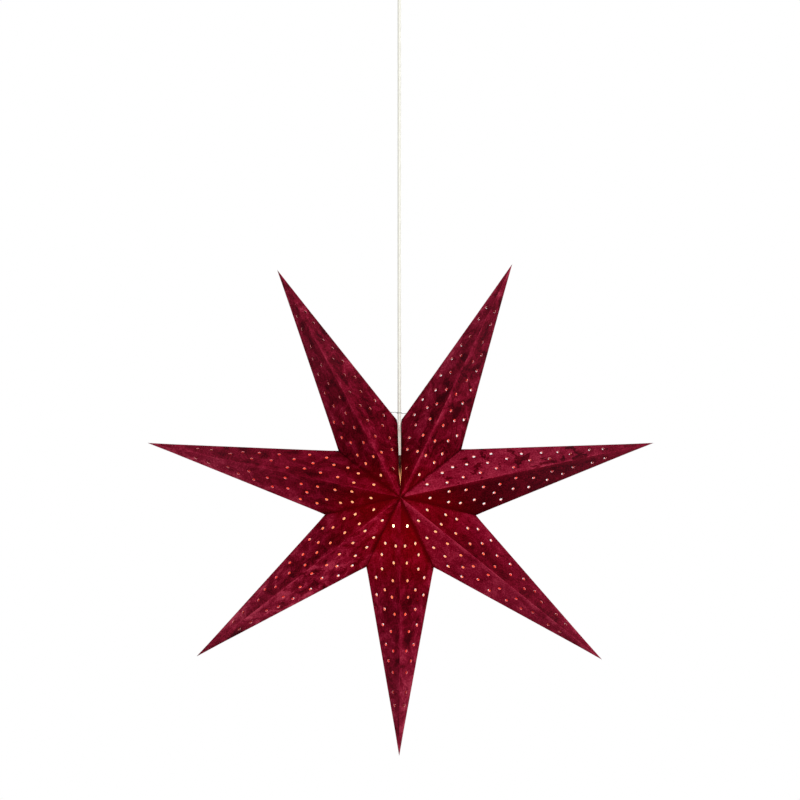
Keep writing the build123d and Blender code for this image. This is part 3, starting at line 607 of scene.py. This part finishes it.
class Panel:
    """One flat panel of a point, drawn on its own plane: s along the ridge from the hub, t towards the edge.

    Its edges in turn are the ridge, the outline and the valley.
    """

    edges = range(3)
    ridge, outline, valley = edges

    def __init__(self, number, face, side):
        bearing = slit_half_angle + half_pitch * (2 * number - 1)
        self.along = Vector((math.sin(bearing), 0, math.cos(bearing)))
        self.across = Vector((math.cos(bearing), 0, -math.sin(bearing))) * side
        self.valley_way = self.along * math.cos(half_pitch) + self.across * math.sin(half_pitch)
        self.face = face
        self.at_slit = (number, side) in [(1, -1), (point_count, 1)]
        self.seed = 8 * number + 2 * (face > 0) + (side > 0)
        self.back_shift = back_shift[number][side > 0] * mm
        self.nap_and_shading = NapAndShading(*nap_and_shading[number][side > 0])
        self.nap_offset = Vector([step * self.seed for step in nap_seed_steps])
        self.ridge_highlight = ridge_highlight[number][side > 0]
        self.valley_shade = valley_shade[number][side > 0]
        self.origin = hub + Vector((0, face * half_depth, 0))
        to_tip = hub + self.along * tip_radius - self.origin
        to_valley = hub + self.valley_way * valley_radius - self.origin
        self.s_dir = to_tip.normalized()
        self.t_dir = (to_valley - self.s_dir * to_valley.dot(self.s_dir)).normalized()
        self.normal = self.s_dir.cross(self.t_dir)
        if self.normal.y * face < 0:
            self.normal.negate()
        self.corners = [
            self.flat(self.origin), Vector((to_tip.length, 0)), self.flat(self.origin + to_valley),
        ]

    def flat(self, place):
        """Where a place lies on the drawing plane."""
        offset = place - self.origin
        return Vector((offset.dot(self.s_dir), offset.dot(self.t_dir)))

    def ends(self, edge):
        return self.corners[edge], self.corners[(edge + 1) % 3]

    def edge_distance(self, point, edge):
        start, end = self.ends(edge)
        return abs(cross((end - start).normalized(), point - start))

    def holds(self, point):
        """Whether a flat point lies inside the panel."""
        sides = []
        for edge in self.edges:
            start, end = self.ends(edge)
            sides.append(cross(end - start, point - start) > 0)
        return all(sides)

    def perforation_centres(self):
        centres = []
        for reach, share in ridge_row_shares + middle_row_shares + edge_row_shares:
            edge = min(reach * tip_radius * math.tan(half_pitch), base_half_width * (1 - reach))
            depth = half_depth * (1 - reach - share * edge / base_half_width)
            centre = hub + self.along * reach * tip_radius + self.across * share * edge
            centre.y += self.face * depth
            if self.face > 0:
                centre.x += self.back_shift
                centre -= self.along * back_slide * smooth((reach - back_slide_start) / back_slide_run)
            centres.append(self.flat(centre))
        return centres

    def border(self):
        """Points round the panel, with the corner at the hub cut off by the hole there."""
        points = []
        for edge in self.edges:
            start, end = self.ends(edge)
            length = (end - start).length
            first = hub_hole_radius if edge == self.ridge else 0
            last = length - hub_hole_radius if edge == self.valley else length
            count = round((last - first) / mesh_step)
            steps = [first + (last - first) * k / count for k in range(count + (edge == self.valley))]
            points += [start + (end - start) * (step / length) for step in steps]
        return points

    def fold_points(self):
        """Rows of points beside the three edges."""
        points = []
        for edge in self.edges:
            start, end = self.ends(edge)
            way = (end - start).normalized()
            inward = Vector((-way.y, way.x))
            count = round((end - start).length / mesh_step)
            for row in fold_rows:
                for k in range(1, count):
                    point = start + (end - start) * (k / count) + inward * row
                    others = [self.edge_distance(point, other) for other in self.edges if other != edge]
                    if min(others) > corner_margin:
                        points.append(point)
        return points

    def grid_points(self):
        """A staggered grid of points, clear of the edges."""
        points = []
        widest = self.corners[2].y
        for row in range(1, int(widest / (grid_row_share * grid_step)) + 1):
            for column in range(int(self.corners[1].x / grid_step) + 1):
                point = Vector(((column + row % 2 / 2) * grid_step, row * grid_row_share * grid_step))
                if min(self.edge_distance(point, edge) for edge in self.edges) > grid_margin:
                    points.append(point)
        return points

    def inner_points(self, centres):
        """Points inside the panel, clear of its perforations."""
        clear = perforation_radius + perforation_margin
        return [
            point for point in self.fold_points() + self.grid_points()
            if self.holds(point) and all((point - centre).length > clear for centre in centres)
        ]

    def triangles(self):
        """Flat points and triangles of the panel, with its perforations left open."""
        centres = self.perforation_centres()
        points = self.border()
        lines = [(k, (k + 1) % len(points)) for k in range(len(points))]
        for centre in centres:
            first = len(points)
            for k in range(perforation_sides):
                turn = 2 * math.pi * k / perforation_sides
                points.append(centre + perforation_radius * Vector((math.cos(turn), math.sin(turn))))
                lines.append((first + k, first + (k + 1) % perforation_sides))
        points += self.inner_points(centres)
        found = delaunay_2d_cdt(points, lines, [], 0, merge_distance)
        points, faces = found[0], found[2]
        core = perforation_core * perforation_radius
        kept = []
        for face in faces:
            middle = sum((points[k] for k in face), Vector((0, 0))) / len(face)
            in_hole = any((middle - centre).length < core for centre in centres)
            if self.holds(middle) and not in_hole and middle.x > hub_hole_radius / 2:
                kept.append(face)
        return points, kept

    def place(self, point):
        """A flat point in space, with rounded folds and a slight wave in the sheet."""
        gaps = [self.edge_distance(point, edge) for edge in self.edges]
        spot = Vector((point.x / wave_length, point.y / wave_length, wave_seed_step * self.seed))
        lift = wave_height * noise.noise(spot) * smooth(min(gaps) / wave_fade)
        place = self.origin + self.s_dir * point.x + self.t_dir * point.y + self.normal * lift
        rounding = fold_rounding * smooth((self.corners[1].x - point.x) / tip_fade)
        rounding *= smooth((point - self.corners[2]).length / corner_fade)
        if gaps[self.ridge] < edge_tolerance:
            place.y -= self.face * rounding
        elif gaps[self.outline] < edge_tolerance:
            place -= self.across * rounding
        elif gaps[self.valley] < edge_tolerance and self.at_slit:
            draw_together(place, slit_edge_opening, place.z - hub.z)
        return place

    def fold_tone(self, point):
        """Painted tone on the folds: a highlight on the ridge, a shadow in the valley."""
        if self.edge_distance(point, self.ridge) < edge_tolerance:
            return ridge_highlight_line
        return valley_shadow_line if self.edge_distance(point, self.valley) < edge_tolerance else 0.0

    def look(self, reach):
        """The face values that the velvet reads, at a share of the way from hub to tip."""
        tone = self.nap_and_shading.hub + (self.nap_and_shading.tip - self.nap_and_shading.hub) * reach
        tone += self.nap_and_shading.end * smooth((reach - tone_end_start) / tone_end_run)
        ridge = self.ridge_highlight * (ridge_highlight_at_hub - ridge_highlight_fall * reach)
        return tone, ridge, self.valley_shade, self.nap_and_shading.slope, self.nap_and_shading.mottle, self.nap_and_shading.blotch


class PointMesh:
    """Mesh of one point of the shade, put together from panels and flaps."""

    def __init__(self):
        self.shape = bmesh.new()
        self.panel_uv = self.shape.loops.layers.uv.new("panel")
        self.across_uv = self.shape.loops.layers.uv.new("across")
        self.face_layers = [self.shape.faces.layers.float.new(name) for name in face_values]
        self.fold, self.from_valley = [self.shape.verts.layers.float.new(name) for name in vertex_values]
        self.weight = self.shape.verts.layers.deform.verify()

    def add_vert(self, place, reach):
        """A vertex at a place, whose sheet thins out by its share of the way to the tip."""
        vert = self.shape.verts.new(bend_to_lean(place))
        vert[self.weight][0] = smooth((1 - reach) / tip_taper)
        return vert

    def add_face(self, panel, verts, spots):
        """A face between vertices, with their spots on the panel."""
        face = self.shape.faces.new(verts)
        face.normal_update()
        face.smooth = True
        reach = sum(spots[vert].x for vert in verts) / len(verts) / panel.corners[1].x
        for layer, value in zip(self.face_layers, panel.look(reach)):
            face[layer] = value
        for loop in face.loops:
            spot = spots[loop.vert]
            loop[self.panel_uv].uv = spot + panel.nap_offset
            loop[self.across_uv].uv = (panel.edge_distance(spot, panel.outline), spot.y)
        return face

    def add_panel(self, panel):
        points, faces = panel.triangles()
        verts, spots = [], {}
        for point in points:
            vert = self.add_vert(panel.place(point), point.x / panel.corners[1].x)
            vert[self.fold] = panel.fold_tone(point)
            vert[self.from_valley] = panel.edge_distance(point, panel.valley)
            verts.append(vert)
            spots[vert] = point
        for corners in faces:
            face = self.add_face(panel, [verts[k] for k in corners], spots)
            if face.normal.dot(panel.normal) < 0:
                face.normal_flip()

    def add_flap(self, panel):
        """Glue flap that turns in from the valley and stops short of the star's mid plane."""
        slope = Vector((valley_radius, half_depth)).normalized()
        inward = -panel.valley_way * slope.y + Vector((0, -panel.face, 0)) * slope.x
        own_side = panel.along - panel.valley_way * panel.along.dot(panel.valley_way)
        to_own_side = own_side.normalized() * sheet * flap_offset
        count = round(valley_radius / mesh_step)
        strip = []
        for k in range(1, count):
            share = k / count
            far = share * valley_radius
            edge = hub + panel.valley_way * valley_radius * share
            edge.y += panel.face * half_depth * (1 - share)
            width = min(flap_width, flap_stop * half_depth * (1 - share) / slope.x)
            outer = edge + to_own_side
            inner = outer + inward * width
            if panel.at_slit:
                draw_together(outer, slit_edge_opening, far)
                draw_together(inner, slit_flap_opening, far)
            reach = far / tip_radius
            strip.append((self.add_vert(outer, reach), self.add_vert(inner, reach), far, width))
        for (outer_a, inner_a, far_a, width_a), (outer_b, inner_b, far_b, width_b) in zip(strip, strip[1:]):
            spots = {
                outer_a: Vector((far_a, 0)), outer_b: Vector((far_b, 0)),
                inner_a: Vector((far_a, width_a)), inner_b: Vector((far_b, width_b)),
            }
            face = self.add_face(panel, [outer_a, outer_b, inner_b, inner_a], spots)
            face.material_index = inside
            if face.normal.dot(to_own_side) > 0:
                face.normal_flip()

    def finish(self, name):
        """Welds the panels on their folds, and gives the mesh to a new object."""
        bmesh.ops.remove_doubles(self.shape, verts=self.shape.verts, dist=weld_distance)
        loose = [vert for vert in self.shape.verts if not vert.link_faces]
        bmesh.ops.delete(self.shape, geom=loose, context="VERTS")
        mesh = bpy.data.meshes.new(name)
        self.shape.to_mesh(mesh)
        self.shape.free()
        return add_object(name, mesh)


def star_point(number, materials):
    """A point of the shade: four perforated panels joined on their folds, with flaps inside its valleys."""
    shape = PointMesh()
    for facing in (-1, 1):
        for side in (-1, 1):
            panel = Panel(number, facing, side)
            shape.add_panel(panel)
            shape.add_flap(panel)
    piece = shape.finish(f"shade_point_{number}")
    for material in materials:
        piece.data.materials.append(material)
    thicken(piece)
    for face in piece.data.polygons:
        arm = face.center - hub - shade_shift
        if math.hypot(arm.x, arm.z) < hub_rim_reach:
            face.material_index = outside
    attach(piece, "star")
    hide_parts(f"star_point_{number}")


def thicken(piece):
    """Gives a point's sheet its thickness, paper on the inside and cut edges."""
    piece.vertex_groups.new(name="thickness")
    solid = piece.modifiers.new("sheet", "SOLIDIFY")
    solid.thickness = sheet
    solid.offset = -1
    solid.vertex_group = "thickness"
    solid.thickness_vertex_group = tip_thickness
    solid.material_offset = inside
    solid.material_offset_rim = cut
    apply_modifiers(piece)


def apply_modifiers(piece):
    """Puts a piece's modifiers into its mesh."""
    graph = bpy.context.evaluated_depsgraph_get()
    made = bpy.data.meshes.new_from_object(piece.evaluated_get(graph))
    piece.modifiers.clear()
    old = piece.data
    piece.data = made
    bpy.data.meshes.remove(old)


def dress_nodes(materials):
    """Gives every CAD node that stays its slot's material."""
    for entry in frame["record"]["subparts"]:
        node = frame["nodes"][entry["node"]]
        if entry["material_slot"] in materials:
            node.data.materials.clear()
            node.data.materials.append(materials[entry["material_slot"]])


def hanging_cord(material):
    """The taut white cord, from the outlet down into the lampholder."""
    curve = bpy.data.curves.new("pendant_cord", "CURVE")
    curve.dimensions = "3D"
    curve.bevel_depth = cord_diameter / 2
    curve.bevel_resolution = 6
    curve.use_fill_caps = True
    spline = curve.splines.new("NURBS")
    spline.points.add(len(cord_route) - 1)
    for point, place in zip(spline.points, cord_route):
        point.co = (*place, 1)
    spline.order_u = 3
    spline.use_endpoint_u = True
    curve.materials.append(material)
    piece = add_object("pendant_cord", curve)
    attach(piece, "cord")
    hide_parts("cord")


def set_camera():
    """A level view of the star's front, shifted so that its centre falls on the photograph's pixel."""
    camera = bpy.data.cameras.new("camera")
    eye = add_object("camera", camera)
    eye.location = hub + Vector((0, -camera_distance, 0))
    eye.rotation_euler = (math.pi / 2, 0, 0)
    camera.lens = camera.sensor_width * camera_distance / (picture_size * metres_per_pixel)
    camera.shift_x = 0.5 - hub_pixel[0] / picture_size
    camera.shift_y = hub_pixel[1] / picture_size - 0.5
    bpy.context.scene.camera = eye


def set_floor():
    """A plain pale floor far below the star."""
    bpy.ops.mesh.primitive_circle_add(
        vertices=64, radius=floor_radius, fill_type="NGON", location=(0, 0, hub.z - floor_drop))
    floor = bpy.context.object
    floor.name = "floor"
    n = Nodes("floor")
    speck = n.noise(n.object_place(), 3, detail=4)
    seen = n.light_path("Is Camera Ray")
    n.shade(
        Base_Color=n.ramp(speck, (0.3, (0.86, 0.86, 0.86, 1)), (0.7, (0.9, 0.9, 0.9, 1))), Roughness=0.9,
        Emission_Color=(1, 1, 1, 1), Emission_Strength=n.span(seen, 0.0, floor_glow),
    )
    floor.data.materials.append(n.owner)


def set_lights():
    """Soft lights round the star, and a surround that is white where the camera looks past the lamp."""
    for name, (place, size, power) in studio_lights.items():
        lamp = bpy.data.lights.new(name, "AREA")
        lamp.shape = "DISK"
        lamp.size = size
        lamp.energy = power
        light = add_object(name, lamp)
        light.location = hub + Vector(place)
        light.rotation_euler = (hub - light.location).to_track_quat("-Z", "Y").to_euler()

    world = bpy.data.worlds.new("surround")
    bpy.context.scene.world = world
    n = Nodes(world, "Background")
    seen = n.light_path("Is Camera Ray")
    for ray in ("Is Glossy Ray", "Is Transmission Ray"):
        seen = n.math("MAXIMUM", seen, n.light_path(ray))
    n.shade(Color=(1, 1, 1, 1), Strength=n.span(seen, surround_light, 1.0))


bpy.context.scene.view_settings.view_transform = "Standard"
set_camera()
set_floor()
set_lights()
slot_finish = slot_materials()
dress_nodes(slot_finish)
hanging_cord(slot_finish["cord_white"])
shade_finish = [velvet_material(), inner_paper_material(), cut_edge_material()]
for number in range(1, point_count + 1):
    star_point(number, shade_finish)
